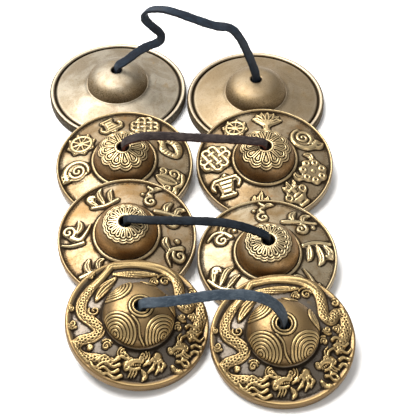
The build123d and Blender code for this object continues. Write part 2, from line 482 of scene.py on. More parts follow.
# Each cloud's middle, radius, start in degrees and hand.
CLOUDS = [(11.5, 21.0, 2.6, 30, 1), (7.0, 19.4, 1.7, 200, -1), (-20.2, 1.6, 2.6, 150, 1),
          (24.4, 17.4, 2.0, 120, -1), (-5.6, -18.6, 1.8, 90, 1), (3.2, -19.0, 1.9, 60, -1),
          (24.0, 3.4, 1.7, 300, 1), (-22.6, 21.0, 1.7, 40, 1), (18.4, -3.6, 1.7, 200, -1),
          (-30.2, 3.4, 1.5, 100, 1), (-29.4, -4.4, 1.7, 200, 1), (-13.6, -15.6, 1.9, 10, 1),
          (-20.8, -16.6, 1.0, 10, 1), (20.0, 2.6, 1.6, 190, 1)]


def dragon_body(art, line, smooth_share):
    """A round tapering body with rows of pitted scales and an edge ridge, smooth towards its tail."""
    distance, share, length, side = near(art.u, art.v, line)
    half = BODY_HALF * (0.7 + 0.3 * smoothstep(0.0, 0.35, share))
    offset = distance * side
    row = np.floor(length / SCALE_PITCH)
    cell_u = ((offset / SCALE_PITCH + (row % 2) * 0.5) % 1) - 0.5
    cell_v = ((length / SCALE_PITCH) % 1) - 0.5
    scaled = smoothstep(smooth_share - 0.05, smooth_share + 0.05, share)
    pits = 0.42 * bump_at(np.hypot(cell_u, cell_v), 0.4) * scaled * (distance < 0.6 * half)
    groove = 0.32 * bump_at(distance - 0.68 * half, 0.12 * half) * (0.4 + 0.6 * scaled)
    folds = 0.14 * bump_at(offset + 0.3 * half * np.sin(9 * share), 0.22 * half) * (1 - scaled)
    round_top = np.sqrt(np.clip(1 - (distance / half) ** 2, 0, 1))
    art.add(round_top * (1 - pits - groove - folds))


def dragon_head(art, x, y, facing, hand):
    """A long muzzle with a curled nose, an open jaw with teeth, a round brow, horns and a beard."""
    angle = math.radians(facing)
    along = (art.u - x) * math.cos(angle) + (art.v - y) * math.sin(angle)
    aside = (art.v - y) * math.cos(angle) - (art.u - x) * math.sin(angle)
    head = Drawing(along / HEAD_SIZE, aside / HEAD_SIZE * hand)
    head.disc(-0.1, 0.05, 0.66, 0.8, share=0.85)
    head.stroke([(0.1, 0.15), (0.6, 0.3), (1.05, 0.22)], 0.32, (1.1, 0.75))
    head.stroke(spiral(1.12, 0.42, 0.3, 1.1, 270), 0.13)
    head.stroke([(-0.1, -0.35), (0.4, -0.5), (0.95, -0.38)], 0.2, (1.1, 0.7))
    for k in range(4):
        head.disc(0.35 + 0.22 * k, -0.1, 0.1)
    head.ring(0.1, 0.35, 0.23, 0.11)
    head.disc(0.1, 0.35, 0.13)
    head.stroke(spiral(-0.35, -0.2, 0.36, 1.2, 60, -1), 0.12)
    head.stroke([(-0.2, 0.5), (-0.7, 0.8), (-1.3, 0.75)], 0.16, (1.1, 0.5))
    head.stroke([(0.0, 0.55), (-0.3, 1.0), (-0.85, 1.15)], 0.14, (1.1, 0.5))
    for k in range(3):
        beard = [(0.05 + 0.25 * k, -0.5), (0.3 * k, -0.82), (-0.25 + 0.3 * k, -1.15)]
        head.stroke(beard, 0.12, (1.0, 0.5))
    art.add(head.height)


def mane(art, roots, sweep, half):
    """Wavy locks that leave a row of roots along one sweep."""
    along, aside = np.array(sweep), np.array((-sweep[1], sweep[0]))
    for k, root in enumerate(roots):
        bend = 0.1 if k % 2 else 0.13
        steps = [(0.0, 0.0), (0.3, bend), (0.65, -bend), (1.0, 0.6 * bend)]
        art.stroke([np.array(root) + a * along + b * aside for a, b in steps], half, (1.1, 0.6))


def cloud(art, x, y, radius, start, hand):
    """A curl of cloud with an arc beside it."""
    art.stroke(spiral(x, y, radius, 1.35, start, hand), 0.5, (1.1, 0.8))
    art.stroke(arc(x, y, radius * 1.5, start + 20 * hand, start + 120 * hand), 0.42, (0.7, 1.1))


def fist(art, x, y, facing):
    """A big clenched foot, its toes fanned out, each with two knuckles and a hooked claw."""
    art.disc(x, y, 0.42 * FIST_SIZE)
    for spread, reach in ((-48, 0.9), (-17, 1.05), (14, 1.0), (46, 0.85)):
        way = math.radians(facing + spread)
        hook = math.radians(facing + 0.4 * spread - 35)
        toe = FIST_SIZE * reach * np.array((math.cos(way), math.sin(way)))
        first, second = (np.array((x, y)) + k * toe for k in (0.5, 0.95))
        tip = second + 0.5 * FIST_SIZE * np.array((math.cos(hook), math.sin(hook)))
        art.stroke([(x, y), first, second], 0.17 * FIST_SIZE, share=0.85)
        art.stroke([second, tip], 0.15 * FIST_SIZE, (1.1, 0.6))
        art.disc(*first, 0.23 * FIST_SIZE)
        art.disc(*second, 0.23 * FIST_SIZE)


def dragon_field(x, y):
    """Two dragons that chase each other round the flange, among clouds, leaves and flames."""
    dragons, leaves, clouds, flames = (Drawing(x, y) for _ in range(4))
    dragon_body(dragons, LEFT_BODY, 0.2)
    dragon_head(dragons, -2.6, -23.4, 8, 1)
    mane(dragons, [(-7.5, -21.0), (-7.0, -23.6), (-7.5, -26.0), (-6.0, -28.4)], (-10.0, -0.4), 0.85)
    mane(dragons, [(-16.5, -25.0), (-15.0, -27.4)], (-6.0, 2.4), 0.8)
    dragon_body(dragons, RIGHT_BODY, 0.42)
    dragon_head(dragons, 20.4, -12.8, 222, -1)
    mane(dragons, [(22.0, -2.4), (23.0, -5.2), (24.0, -8.2), (25.0, -11.4), (25.0, -14.6)],
         (6.6, 1.8), 0.85)
    mane(dragons, [(21.0, -18.4), (18.6, -19.4)], (5.6, -1.6), 0.8)
    leaves.ribbed_leaf([(-12.5, 22.4), (-3.0, 23.4), (8.0, 24.2)], 2.4)
    leaves.ribbed_leaf([(-11.5, 20.0), (-16.0, 14.5), (-19.8, 6.5)], 2.7)
    for place in CLOUDS:
        cloud(clouds, *place)
    fist(flames, 9.6, -18.6, 268)
    flames.ribbed_leaf([(3.0, -25.4), (4.6, -27.6), (3.4, -30.0)], 1.3)
    flames.ribbed_leaf([(16.2, -21.6), (18.6, -23.6), (21.4, -23.4)], 1.4)
    dragons.add(leaves.height, 0.85)
    dragons.add(clouds.height, 0.8)
    dragons.add(flames.height, 0.95)
    return dragons.height


# ---- domes' ornament

PETALS = {"emblem": 12, "scroll": 18}
ROSETTE_REACH = {"emblem": 10.6, "scroll": 8.9}
ROSETTE_INNER = 4.4
ROSETTE_SPIN = {"left": 0.1, "right": 0.25}
CROWN_RING = {"emblem": 3.7, "scroll": 3.8}
# Nested arcs on the dragons' domes: degrees round, reach from the top and radius of each group.
WAVE_GROUPS = [(139, 17.5, 9.0), (229, 18.0, 10.8), (316, 18.0, 10.4), (20, 19.5, 7.0), (78, 19.0, 5.0)]
WAVE_PITCH = 1.6


def rosette(pair, reach, angle):
    """Round-ended petals round the hole; reach is the distance from the dome's axis."""
    petals, outer = PETALS[pair], ROSETTE_REACH[pair]
    share = (angle / (2 * np.pi) * petals) % 1 - 0.5
    pitch = 2 * np.pi * reach / petals
    end_half = np.pi * outer / petals * 0.92
    middle = outer - end_half
    side = (0.5 - np.abs(share)) * pitch
    end = end_half - np.hypot(reach - middle, share * pitch)
    inside = np.where(reach > middle, np.minimum(end, side), side)
    inside = np.where(reach < ROSETTE_INNER, -1.0, inside)
    edge = bump_at(inside - 0.5, 0.48)
    if pair == "emblem":
        edge = np.maximum(edge, 0.85 * bump_at(inside - 1.75, 0.42))
    scallops = np.maximum(0.8 * bump_at(inside + 0.75, 0.42), 0.55 * bump_at(inside + 1.75, 0.4))
    petal = np.where(inside > 0, edge, scallops * (reach > middle + 0.6))
    return np.maximum(petal, bump_at(reach - CROWN_RING[pair], 0.62))


def nested_arcs(x, y):
    """Groups of nested arcs, each hiding part of the next, with one sweep between them."""
    height = np.zeros(x.shape)
    covered = np.zeros(x.shape, bool)
    for degrees, reach, radius in WAVE_GROUPS:
        turn = math.radians(degrees)
        distance = np.hypot(x - reach * math.cos(turn), y - reach * math.sin(turn))
        arcs = bump_at((distance - radius) % WAVE_PITCH - 0.5 * WAVE_PITCH, 0.48 * WAVE_PITCH)
        height = np.where(covered, height, arcs * (distance < radius))
        covered |= distance < radius
    sweep = Drawing(x, y)
    sweep.stroke([(-3.5, -5.0), (-0.5, -9.0), (0.5, -14.0), (3.5, -19.0)], 0.55)
    return np.where(covered, height, sweep.height)


# ---- a bell's surface

# How much browner a bell is than its pair's other: painted shade, for the different light on the two
# bells.
BELL_SHADE = {("plain", "right"): 0.7, ("scroll", "left"): 0.25}
FLANGE_STEP = 0.32
DOME_ROWS = 68
CEILING_ROWS = 18
PLAIN_SEGMENTS = 320
RELIEF_SEGMENTS = 560
ROUNDING = 0.9  # of the flange's outer edge and of the foot
GROOVE_SHARE = 0.92
LIP_SHARE = 0.932
# The ornament's ground below the solid, its outer edge as a share of the rim, and its relief.
FIELD_DROP = {"emblem": 1.1, "scroll": 1.1, "dragon": 1.0}
FIELD_SHARE = {"emblem": 0.962, "scroll": 0.962, "dragon": 0.94}
RELIEF_HEIGHT = {"emblem": 1.35, "scroll": 1.35, "dragon": 1.75}
# The raised patch round each motif, as a share of the relief.
PAD_SHARE = {"emblem": 0.58, "scroll": 0.4}


def superellipse(radius, height, count):
    """Radius and lift of points up a dome's section, from its foot to the hole."""
    turn = np.linspace(0, np.pi / 2, 400)
    reach = radius * np.cos(turn) ** (2 / DOME_FULLNESS)
    lift = height * np.sin(turn) ** (2 / DOME_FULLNESS)
    keep = reach > HOLE_RADIUS
    lift = np.append(lift[keep], np.interp(HOLE_RADIUS, reach[::-1], lift[::-1]))
    reach = np.append(reach[keep], HOLE_RADIUS)
    walked = walk(np.stack((reach, lift), -1))
    even = np.linspace(0, walked[-1], count)
    return np.interp(even, walked, reach), np.interp(even, walked, lift)


def flange_line(bell, radius):
    """Height of the turned flange, before its ornament."""
    inner = bell.rim - RIM_WIDTH
    share = np.clip((inner - radius) / (inner - bell.dome), 0, 1)
    height = RIM_HEIGHT + FLANGE_RISE * share
    foot = radius - bell.dome
    if bell.pair == "plain":
        groove = radius - GROOVE_SHARE * bell.rim
        lip = np.clip((radius - LIP_SHARE * bell.rim) / ((1 - LIP_SHARE) * bell.rim), 0, 1)
        height = height - 1.2 * np.exp(-(groove / 0.55) ** 2) + 0.3 * np.sin(np.pi * lip)
        return height + 0.9 * np.exp(-foot / 0.8) - 0.25 * smoothstep(3.0, 9.0, foot) * (lip <= 0)
    margin = radius - bell.field
    soft = 1.6 if bell.pair == "dragon" else 0.25
    ground = smoothstep(0.2, 0.7, foot) * (1 - smoothstep(-soft, soft, margin))
    height = height - FIELD_DROP[bell.pair] * ground
    if bell.pair == "dragon":
        return height - 0.5 * smoothstep(bell.field - 2.0, bell.rim, radius)
    bead = bump_at(foot - 1.15, 0.75)
    height = height + 0.95 * bead - 0.3 * np.exp(-((foot - 0.15) / 0.3) ** 2)
    return height - 0.35 * np.exp(-((margin - 0.1) / 0.3) ** 2)


def section(bell):
    """The closed section as rows of radius and height, and their zones, from the hole's mouth round."""
    flange_top = RIM_HEIGHT + FLANGE_RISE
    mouth = np.array([(HOLE_RADIUS, MOUTH_HEIGHT - 1.1), (HOLE_RADIUS, MOUTH_HEIGHT - 0.55),
                      (HOLE_RADIUS + 0.12, MOUTH_HEIGHT - 0.2)])
    reach, lift = superellipse(bell.dome, DOME_HEIGHT, DOME_ROWS)
    dome = np.stack((reach[::-1], flange_top + lift[::-1]), -1)
    dome = dome[dome[:, 0] > HOLE_RADIUS + 0.3]

    edge = bell.rim - ROUNDING
    count = int((edge - bell.dome) / FLANGE_STEP)
    radius = np.linspace(bell.dome, edge, count + 1)[1:]
    flange = np.stack((radius, flange_line(bell, radius)), -1)
    top = flange[-1, 1] - ROUNDING
    turn = np.radians((18, 36, 54, 72, 90))
    shoulder = np.stack((edge + ROUNDING * np.sin(turn), top + ROUNDING * np.cos(turn)), -1)
    wall = np.array([(bell.rim, z) for z in np.linspace(top - 0.5, ROUNDING, 5)])
    turn = np.radians((22, 45, 67, 90))
    foot = np.stack((edge + ROUNDING * np.cos(turn), ROUNDING * (1 - np.sin(turn))), -1)

    ring = bell.rim - FOOT_WIDTH
    recess = np.array([(bell.rim - 2.0, 0.0), (ring, 0.0), (ring - 0.3, 0.25),
                       (ring - FOOT_RECESS, FOOT_RECESS)])
    inner_dome = bell.dome - DOME_WALL
    ceiling = flange_top - FLANGE_WALL
    slope = np.linspace(0, 1, 9)[1:-1, None]
    under = recess[-1] * (1 - slope) + np.array((inner_dome + 1.0, ceiling - 0.2)) * slope
    reach, lift = superellipse(inner_dome, MOUTH_HEIGHT - DOME_WALL - ceiling, CEILING_ROWS)
    inside = np.stack((reach, ceiling + lift), -1)
    low, high = MOUTH_HEIGHT - DOME_WALL + 0.3, MOUTH_HEIGHT - 1.5
    hole = np.array([(HOLE_RADIUS, z) for z in np.linspace(low, high, 4)])

    parts = [("mouth", mouth), ("dome", dome), ("flange", flange),
             ("edge", np.vstack((shoulder, wall, foot))),
             ("under", np.vstack((recess, under, inside, hole)))]
    zones = np.concatenate([np.full(len(points), name, dtype=object) for name, points in parts])
    return np.vstack([points for _, points in parts]), zones


def blurred(height, width):
    """A field smoothed along both directions of its grid; the second wraps round."""
    shifts = np.arange(-2 * width, 2 * width + 1)
    taps = np.exp(-(shifts / width) ** 2)
    taps = taps / taps.sum()
    rows = np.arange(len(height))
    height = sum(tap * height[np.clip(rows + shift, 0, rows[-1])] for tap, shift in zip(taps, shifts))
    return sum(tap * np.roll(height, shift, 1) for tap, shift in zip(taps, shifts))


def dome_field(bell, radius, reach, turn):
    """Heights on the dome, where radius is from its axis and reach is along its surface."""
    if bell.pair != "dragon":
        return 0.5 * rosette(bell.pair, radius, turn + ROSETTE_SPIN[bell.side])
    rings = np.maximum(bump_at(reach - 3.4, 0.6), bump_at(reach - 5.1, 0.6))
    arcs = nested_arcs(reach * np.cos(turn), reach * np.sin(turn))
    fade = 1 - smoothstep(0.88, 0.96, reach / reach[-1])
    return np.where(reach < 6.0, 0.6 * rings, 0.55 * arcs) * fade


def flange_field(bell, radius, turn):
    """Heights on the flange: the ornament, with its ground raised softly round it."""
    x, y = radius * np.cos(turn), radius * np.sin(turn)
    if bell.pair == "dragon":
        field = dragon_field(x, y)
        pad = 0.35 * smoothstep(0.25, 0.45, blurred(field, 3))
        start, limit = 0.2, 0.97 * bell.rim
    else:
        field = motif_field(bell, x, y)
        pad = PAD_SHARE[bell.pair] * smoothstep(0.2, 0.36, blurred(field, 4))
        start, limit = 1.7, bell.field - 0.2
    clear = smoothstep(start, start + 0.9, radius - bell.dome)
    clear = clear * (1 - smoothstep(limit - 0.6, limit, radius))
    return RELIEF_HEIGHT[bell.pair] * np.maximum(field, pad) * clear


def ornament(bell, rows, zones, angle):
    """Relief in millimetres over the whole grid of a bell."""
    relief = np.zeros((len(rows), len(angle)))
    if bell.pair == "plain":
        return relief
    dome, flange = zones == "dome", zones == "flange"
    reach = walk(rows[dome])[:, None] + rows[dome][0, 0]
    relief[dome] = dome_field(bell, rows[dome][:, :1], reach, angle[None, :])
    relief[flange] = flange_field(bell, rows[flange][:, :1], angle[None, :])
    return relief


def patina(bell, rows, zones, relief):
    """How dark, light, brown and inside each point is, for the bronze: oxide and worn relief, with painted
    shade and painted highlights.
    """
    plain, dragon = bell.pair == "plain", bell.pair == "dragon"
    dome, flange, edge, under = (
        (zones == zone)[:, None] for zone in ("dome", "flange", "edge", "under")
    )
    up_dome = rows[:, :1] / bell.dome
    # The lower part of the dome is painted darker and browner: painted shade.
    shaded_low_dome = smoothstep(0.62, 0.98, up_dome) * dome
    # cavity: oxide in the hollows together with painted shade beside the relief, in the turned grooves and
    # at the dome's foot.
    grooves = np.where(flange, blurred(rows[:, 1:], 5) - rows[:, 1:], 0)
    hollow = (blurred(relief, 5) - relief) + 1.8 * (blurred(relief, 2) - relief)
    cavity = hollow * (0.55 if dragon else 0.95) + 1.5 * grooves
    cavity = cavity * np.where(dome, 2.4, 1.0) + (0.16 if plain else 0.09) * shaded_low_dome
    # The plain bells' outer wall is painted darker.
    cavity = np.where(dome | flange, cavity, 0.3 * edge * plain)
    # The upper dome is painted lighter towards the hole: a painted highlight.
    lit_dome_top = (0.1 if plain else 0.45) * (1 - smoothstep(0.25, 0.85, up_dome)) * dome
    full = np.where(dome, 0.6, RELIEF_HEIGHT.get(bell.pair, 1.0))
    # tone: painted shade that browns one bell of a pair and the lower dome; on the dragons also the real
    # brown of the rim margin and relief.
    tone = np.clip(BELL_SHADE.get((bell.pair, bell.side), 0.0) + 0.8 * shaded_low_dome, 0, 1)
    if dragon:
        margin = np.where(flange, smoothstep(-0.8, 0.5, rows[:, :1] - bell.field), 1.0)
        tone = np.clip(np.maximum(tone, margin + smoothstep(0.1, 0.5, relief)), 0, 1)
    values = {"cavity": cavity, "raised": np.maximum(np.clip(relief / full, 0, 1), lit_dome_top),
              "inside": under.astype(float), "tone": tone}
    return {key: np.broadcast_to(value, relief.shape).ravel() for key, value in values.items()}


def make_bell(bell):
    """One bell as a single closed mesh."""
    rows, zones = section(bell)
    segments = PLAIN_SEGMENTS if bell.pair == "plain" else RELIEF_SEGMENTS
    angle = np.linspace(0, 2 * np.pi, segments, endpoint=False)
    tangent = np.roll(rows, -1, 0) - np.roll(rows, 1, 0)
    tangent /= np.linalg.norm(tangent, axis=1)[:, None]
    normal = np.stack((-tangent[:, 1], tangent[:, 0]), -1)
    normal = np.where((zones == "flange")[:, None], (0.0, 1.0), normal)
    relief = ornament(bell, rows, zones, angle)
    radius = rows[:, :1] + normal[:, :1] * relief
    height = rows[:, 1:] + normal[:, 1:] * relief
    x, y = radius * np.cos(angle), radius * np.sin(angle)
    points = bell.place(x, y, height).reshape(-1, 3)
    values = patina(bell, rows, zones, relief)
    values["local"] = np.stack((x, y, height), -1).reshape(-1, 3) * 0.1
    faces = grid_faces(len(rows), segments, True)[:, ::-1]
    piece = link(f"cymbal_{bell.pair}_{bell.side}", mesh_from(bell.node + "_mesh", points, faces, values))
    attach(piece, bell.body)
    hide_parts(bell.node)
    return piece


# ---- straps and knots

# The straps' routes, the same points as the solids', in millimetres.
STRAP_ROUTE = {
    "plain": [
        (-39.3, 82.2, 21.8), (-34.2, 81.7, 25.6), (-28.2, 81.1, 32.2), (-22.3, 80.6, 37.2),
        (-15.6, 79.9, 40.4), (-14.2, 79.8, 45.8), (-19.0, 80.3, 50.4), (-23.6, 80.7, 55.6),
        (-22.4, 80.6, 61.2), (-14.2, 79.8, 63.0), (-5.0, 78.9, 60.4), (4.5, 78.0, 56.6),
        (13.5, 77.1, 53.4), (21.0, 76.4, 53.8), (26.0, 75.9, 46.8), (29.8, 75.6, 37.4),
        (32.8, 75.3, 28.6), (34.8, 75.1, 21.8),
    ],
    "emblem": [
        (-33.1, 21.0, 25.5), (-28.8, 21.0, 28.9), (-21.5, 21.0, 30.9), (-11.0, 21.0, 30.8),
        (1.0, 21.0, 29.8), (13.0, 20.9, 29.0), (24.0, 20.9, 28.4), (32.5, 20.9, 27.3),
        (38.1, 20.9, 26.3),
    ],
    "scroll": [
        (-29.7, -30.1, 27.3), (-24.5, -30.8, 27.6), (-16.0, -32.0, 28.2), (-6.0, -33.4, 29.6),
        (4.5, -34.9, 31.2), (13.5, -36.2, 32.0), (22.0, -37.4, 31.6), (29.8, -38.5, 29.2),
        (34.2, -39.1, 27.3), (37.7, -39.6, 25.4),
    ],
    "dragon": [
        (-20.2, -80.4, 28.0), (-13.5, -81.4, 29.6), (-4.5, -82.7, 32.8), (5.0, -84.1, 37.0),
        (14.5, -85.5, 40.8), (24.5, -87.0, 42.8), (33.2, -88.3, 42.2), (39.2, -89.1, 37.6),
        (42.0, -89.6, 31.8), (43.0, -89.7, 27.3),
    ],
}
# Degrees by which each strap's flat is turned about its line at each point of its route; 0 is level.
STRAP_TWIST = {
    "plain": (25, 40, 46, 50, 52, 80, 104, 130, 165, 186, 200, 218, 226, 216, 222, 232, 240, 245),
    "emblem": (10, 30, 38, 36, 32, 32, 34, 30, 10),
    "scroll": (10, 22, 30, 32, 34, 34, 32, 26, 18, 8),
    "dragon": (15, 34, 42, 42, 38, 36, 40, 46, 40, 20),
}
STRAP_DEPTHS = (-8.6, -5.0)  # where a strap runs inside the hole, below its pivot


def smooth_line(name, points):
    """Points along a NURBS line that has the given control points, in metres."""
    data = bpy.data.curves.new(name, "CURVE")
    data.dimensions = "3D"
    data.resolution_u = 10
    spline = data.splines.new("NURBS")
    spline.points.add(len(points) - 1)
    for target, point in zip(spline.points, points):
        target.co = (*point, 1)
    spline.order_u = 3
    spline.use_endpoint_u = True
    holder = link(name, data)
    mesh = bpy.data.meshes.new_from_object(holder)
    line = np.array([vertex.co for vertex in mesh.vertices])
    bpy.data.objects.remove(holder)
    bpy.data.meshes.remove(mesh)
    return line


def even_line(line, step):
    """The same line with points at even steps, and the length so far at each."""
    walked = walk(line)
    count = max(round(walked[-1] / step), 2)
    even = np.linspace(0, walked[-1], count + 1)
    return np.stack([np.interp(even, walked, line[:, k]) for k in range(3)], -1), even


def thong_section(width, thickness):
    """A flat strap's outline with rounded corners, and how far each point is onto the cut sides."""
    points, sides = [], []
    for right, up, low in ((1, 1, 0), (-1, 1, 90), (-1, -1, 180), (1, -1, 270)):
        for turn in np.radians(np.linspace(low, low + 90, 4)):
            points.append((right * (width / 2 - STRAP_EDGE_ROUND) + STRAP_EDGE_ROUND * math.cos(turn),
                           up * (thickness / 2 - STRAP_EDGE_ROUND) + STRAP_EDGE_ROUND * math.sin(turn)))
            sides.append(abs(math.cos(turn)))
    return np.array(points), np.array(sides)


def thong(name, line, twist, width, thickness):
    """A flat leather strap along a line in metres; twist in degrees at each of its points."""
    tangent = np.gradient(line, axis=0)
    tangent /= np.linalg.norm(tangent, axis=1)[:, None]
    depth = np.array((0.0, 1.0, 0.0))
    flat = depth - (tangent @ depth)[:, None] * tangent
    flat /= np.linalg.norm(flat, axis=1)[:, None]
    turn = np.radians(twist)[:, None]
    across = flat * np.cos(turn) + np.cross(tangent, flat) * np.sin(turn)
    out = np.cross(tangent, across)
    outline, sides = thong_section(width, thickness)
    walked = walk(line) / MM
    # Hand-cut leather: its width wavers a little along its length.
    waver = 1 + 0.035 * np.sin(walked * 0.7) + 0.025 * np.sin(walked * 1.9 + 1.0)
    wide = across[:, None] * outline[:, :1] * waver[:, None, None]
    points = line[:, None] + MM * (wide + out[:, None] * outline[:, 1:])
    count, around = points.shape[:2]
    points = np.vstack((points.reshape(-1, 3), line[0], line[-1]))

    faces = grid_faces(count, around, False)[:, ::-1].tolist()
    last_row = (count - 1) * around
    for k in range(around):
        after = (k + 1) % around
        faces.append((after, k, len(points) - 2))
        faces.append((last_row + k, last_row + after, len(points) - 1))
    strip = np.column_stack((np.repeat(walked, around), np.tile(outline, (count, 1))))
    strip = np.vstack((strip, (0, 0, 0), (walked[-1], 0, 0))) * 0.1
    values = {"cut": np.append(np.tile(sides, count), (1.0, 1.0)), "strip": strip}
    return link(name, mesh_from(name, points, faces, values))


def make_strap(pair, bells):
    """The strap of a pair, from inside one dome to inside the other."""
    left, right = bells[pair, "left"], bells[pair, "right"]
    route = [np.array(point) * MM for point in STRAP_ROUTE[pair]]
    control = [left.hinge(depth) for depth in STRAP_DEPTHS] + route
    control += [right.hinge(depth) for depth in reversed(STRAP_DEPTHS)]
    line, walked = even_line(smooth_line(f"line_{pair}", control), STRAP_STEP)
    along = walk(control)
    turns = np.pad(STRAP_TWIST[pair], len(STRAP_DEPTHS), mode="edge")
    twist = np.interp(walked / walked[-1], along / along[-1], turns)
    twist = np.convolve(np.pad(twist, 6, mode="edge"), np.ones(13) / 13, mode="valid")
    piece = thong(f"thong_{pair}", line, twist, STRAP_WIDTH[pair], STRAP_THICKNESS)
    low = min(left.hinge()[2], right.hinge()[2])
    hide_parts(f"strap_{pair}")
    tuple(left.hinge())
    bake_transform(piece)
    return piece


# The overhand knots, in millimetres: a trefoil's mean reach, its swing in and out and up and down.
KNOT_LOOP = 2.7
KNOT_WAVE = 1.5
KNOT_LIFT = 1.9
KNOT_MIDDLE = 12.6
KNOT_WIDTH = 3.6
KNOT_THICKNESS = 2.0
KNOT_STEP = 0.6


def make_knot(bell):
    """An overhand knot under the dome, from inside the hole to a short cut end."""
    turn = np.linspace(0.35, 2 * np.pi + 0.1, 90)
    reach = KNOT_LOOP + KNOT_WAVE * np.cos(3 * turn)
    x, y = reach * np.cos(2 * turn), reach * np.sin(2 * turn)
    z = KNOT_MIDDLE + KNOT_LIFT * np.sin(3 * turn)
    loop = np.stack((x, y, z), -1)
    head = np.linspace((0, 0, MOUTH_HEIGHT - 2.0), loop[0], 7)[:-1]
    tail = loop[-1] + np.linspace((0.8, 0.2, -0.8), (3.4, 0.6, -4.4), 6)
    line, _ = even_line(bell.place(*np.vstack((head, loop, tail)).T), KNOT_STEP * MM)
    twist = np.linspace(0, 300, len(line))
    piece = thong(f"overhand_{bell.pair}_{bell.side}", line, twist, KNOT_WIDTH, KNOT_THICKNESS)
    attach(piece, f"{bell.pair}_pair")
    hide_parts(f"knot_{bell.pair}_{bell.side}")
    return piece


# ---- materials


class Graph:
    """A material's node graph, built with short calls."""

    def __init__(self, name):
        self.material = bpy.data.materials.new(name)
        self.material.use_nodes = True
        self.tree = self.material.node_tree
        self.shader = self.tree.nodes["Principled BSDF"]

    def node(self, kind, inputs=None, **settings):
        made = self.tree.nodes.new(kind)
        for key, value in settings.items():
            setattr(made, key, value)
        for key, value in (inputs or {}).items():
            self.feed(made.inputs[key], value)
        return made

    def feed(self, socket, value):
        if isinstance(value, bpy.types.NodeSocket):
            self.tree.links.new(value, socket)
        else:
            socket.default_value = value

    def shade(self, name, value):
        self.feed(self.shader.inputs[name], value)

    def attribute(self, name, output="Fac"):
        return self.node("ShaderNodeAttribute", attribute_name=name).outputs[output]

    def noise(self, vector, scale, detail, roughness=0.6, distortion=0.0):
        inputs = {"Vector": vector, "Scale": scale, "Detail": detail, "Roughness": roughness,
                  "Distortion": distortion}
        return self.node("ShaderNodeTexNoise", inputs).outputs["Fac"]

    def math(self, operation, a, b):
        return self.node("ShaderNodeMath", {0: a, 1: b}, operation=operation).outputs[0]

    def vector(self, operation, a, b=(1, 1, 1), output=0):
        return self.node("ShaderNodeVectorMath", {0: a, 1: b}, operation=operation).outputs[output]

    def span(self, value, low, high, to_low=0.0, to_high=1.0):
        inputs = {"Value": value, "From Min": low, "From Max": high, "To Min": to_low, "To Max": to_high}
        return self.node("ShaderNodeMapRange", inputs, interpolation_type="SMOOTHSTEP").outputs[0]

    def mix(self, share, first, second):
        made = self.node("ShaderNodeMix", data_type="RGBA")
        self.feed(made.inputs[0], share)
        for socket, value in ((made.inputs[6], first), (made.inputs[7], second)):
            self.feed(socket, (*value, 1) if isinstance(value, tuple) else value)
        return made.outputs[2]

    def bump(self, height, strength, distance, normal=None):
        inputs = {"Height": height, "Strength": strength, "Distance": distance}
        if normal is not None:
            inputs["Normal"] = normal
        return self.node("ShaderNodeBump", inputs).outputs[0]


def bronze(name, ground, pale, worn, recess, stain_and_shade, lathe=0.0, rough=0.42):
    """Cast bronze: mottled ground, dark oxide and painted shade in the hollows, worn, brighter relief with
    painted highlights, and a painted darker underside.
    """
    g = Graph(name)
    local = g.attribute("local", "Vector")
    cavity = g.attribute("cavity")
    raised = g.attribute("raised")
    inside = g.attribute("inside")
    patches = g.noise(local, 0.9, 5.0, 0.6, 0.4)
    specks = g.noise(local, 14.0, 3.0)
    grain = g.noise(local, 45.0, 2.0, 0.5)
    colour = g.mix(g.span(patches, 0.38, 0.66), ground, pale)
    colour = g.mix(g.span(g.noise(local, 1.7, 4.0, 0.6, 0.8), 0.58, 0.74, 0.0, 0.75), colour, stain_and_shade)
    # Browner tone: painted shade on one bell of a pair and on the lower dome, with the dragons' brown
    # margin and relief.
    colour = g.mix(g.math("MULTIPLY", g.attribute("tone"), 0.8), colour, stain_and_shade)
    # Raised relief is worn paler; the upper dome, carried in the same attribute, gets a painted highlight.
    colour = g.mix(g.span(raised, 0.2, 0.95, 0.0, 0.6), colour, worn)
    # Edges that stand above their surroundings (cavity below zero) take the worn colour: worn edges
    # together with a painted highlight.
    colour = g.mix(g.span(cavity, -0.02, -0.6, 0.0, 0.8), colour, worn)
    colour = g.mix(g.span(specks, 0.56, 0.76, 0.0, 0.42), colour, recess)
    # Oxide in the hollows together with painted shade, darkening towards the recess colour.
    oxide_and_shade = g.math("ADD", cavity, g.span(specks, 0.3, 0.7, -0.05, 0.05))
    colour = g.mix(g.span(oxide_and_shade, 0.05, 0.42, 0.0, 0.94), colour, recess)
    # The underside, the inside of the dome and the hole wall are painted darker: painted shade.
    colour = g.mix(g.math("MULTIPLY", inside, 0.55), colour, recess)
    g.shade("Base Color", colour)
    g.shade("Metallic", 1.0)
    speckled = g.span(specks, 0.25, 0.75, rough - 0.06, rough + 0.1)
    roughness = g.math("ADD", speckled, g.span(raised, 0.0, 0.5, 0.06, 0.0))
    roughness = g.math("ADD", roughness, g.span(oxide_and_shade, 0.05, 0.3, 0.0, 0.3))
    g.shade("Roughness", roughness)
    height = g.math("ADD", g.math("MULTIPLY", specks, 0.7), g.math("MULTIPLY", grain, 0.3))
    normal = g.bump(height, 0.35, 0.12 * MM)
    if lathe:
        radius = g.vector("LENGTH", g.vector("MULTIPLY", local, (1, 1, 0)), output="Value")
        marks = g.node("ShaderNodeTexNoise", {"W": radius, "Scale": 60.0, "Detail": 3.0, "Roughness": 0.7},
                       noise_dimensions="1D").outputs["Fac"]
        normal = g.bump(marks, lathe, 0.06 * MM, normal)
    g.shade("Normal", normal)
    return g.material


